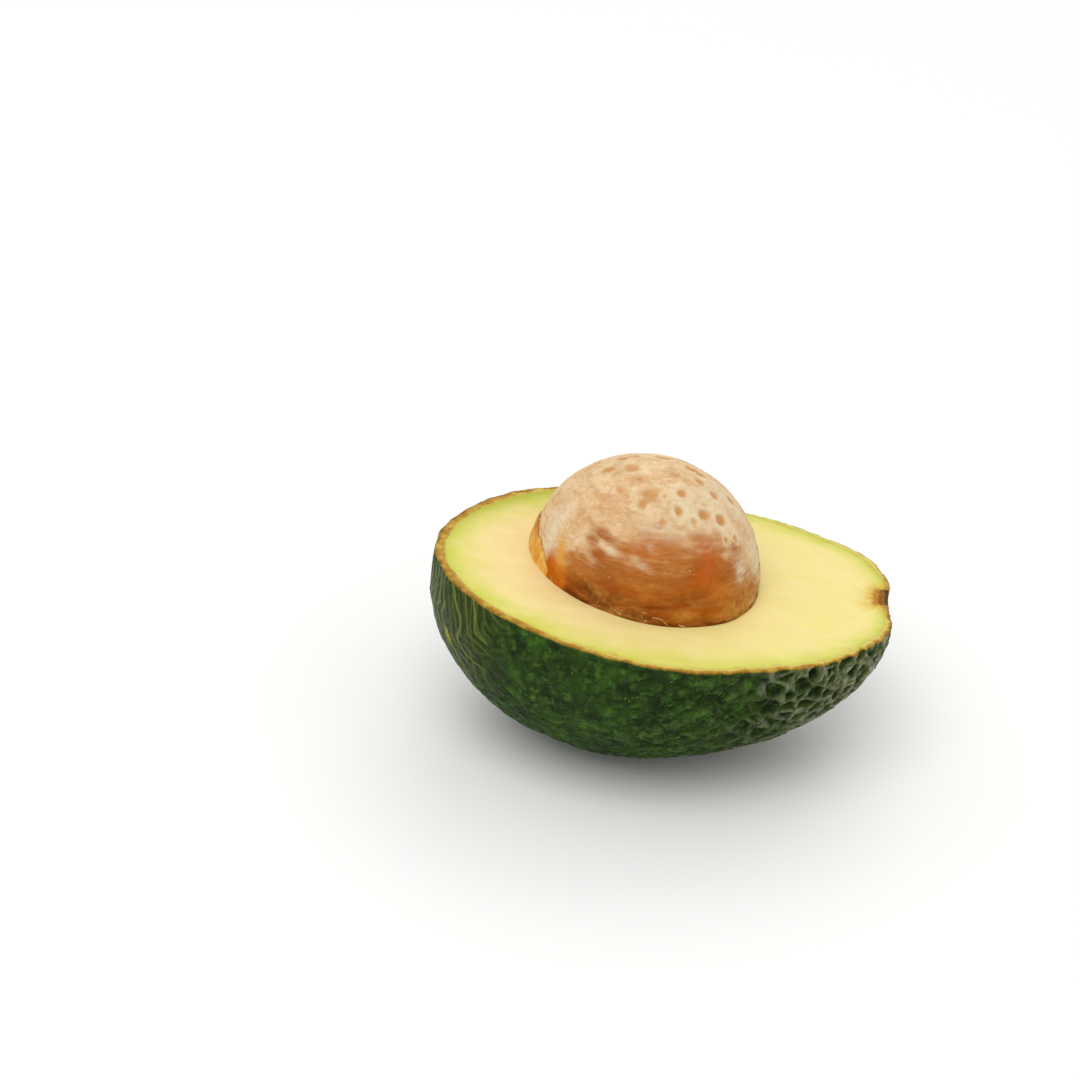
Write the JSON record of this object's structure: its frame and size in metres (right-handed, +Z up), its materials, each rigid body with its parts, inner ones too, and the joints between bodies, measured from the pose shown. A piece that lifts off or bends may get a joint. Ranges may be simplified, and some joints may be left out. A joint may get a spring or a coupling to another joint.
{
  "type": "avocado half with its stone",
  "caption": "Half an avocado cut lengthwise with its round stone left in, lying on its warty dark green skin with the pale flesh facing up.",
  "frame": {"origin": "centre of the small flat spot of skin that the half rests on, under its weight", "axes": "+Z up, square to that spot; +X towards the stem end, along the fruit's length; +Y across it, to the left when looking towards the stem end"},
  "size_m": [0.0948, 0.0725, 0.057],
  "materials": {
    "skin": "leathery warty peel, dark green, soft waxy gloss",
    "flesh": "moist buttery flesh, cream to yellow-green at the skin, soft gloss",
    "stone": "seed in a papery tan to red-brown coat, matt",
    "seed_coat": "torn scrap of thin seed coat, orange-brown, satin",
    "stem_stub": "dry woody stalk stub, dark brown, matt"
  },
  "bodies": {
    "root": {"skin": "skin", "flesh": "flesh", "stone": "stone", "seed_coat": "seed_coat", "stem_stub": "stem_stub"}
  },
  "joints": []
}
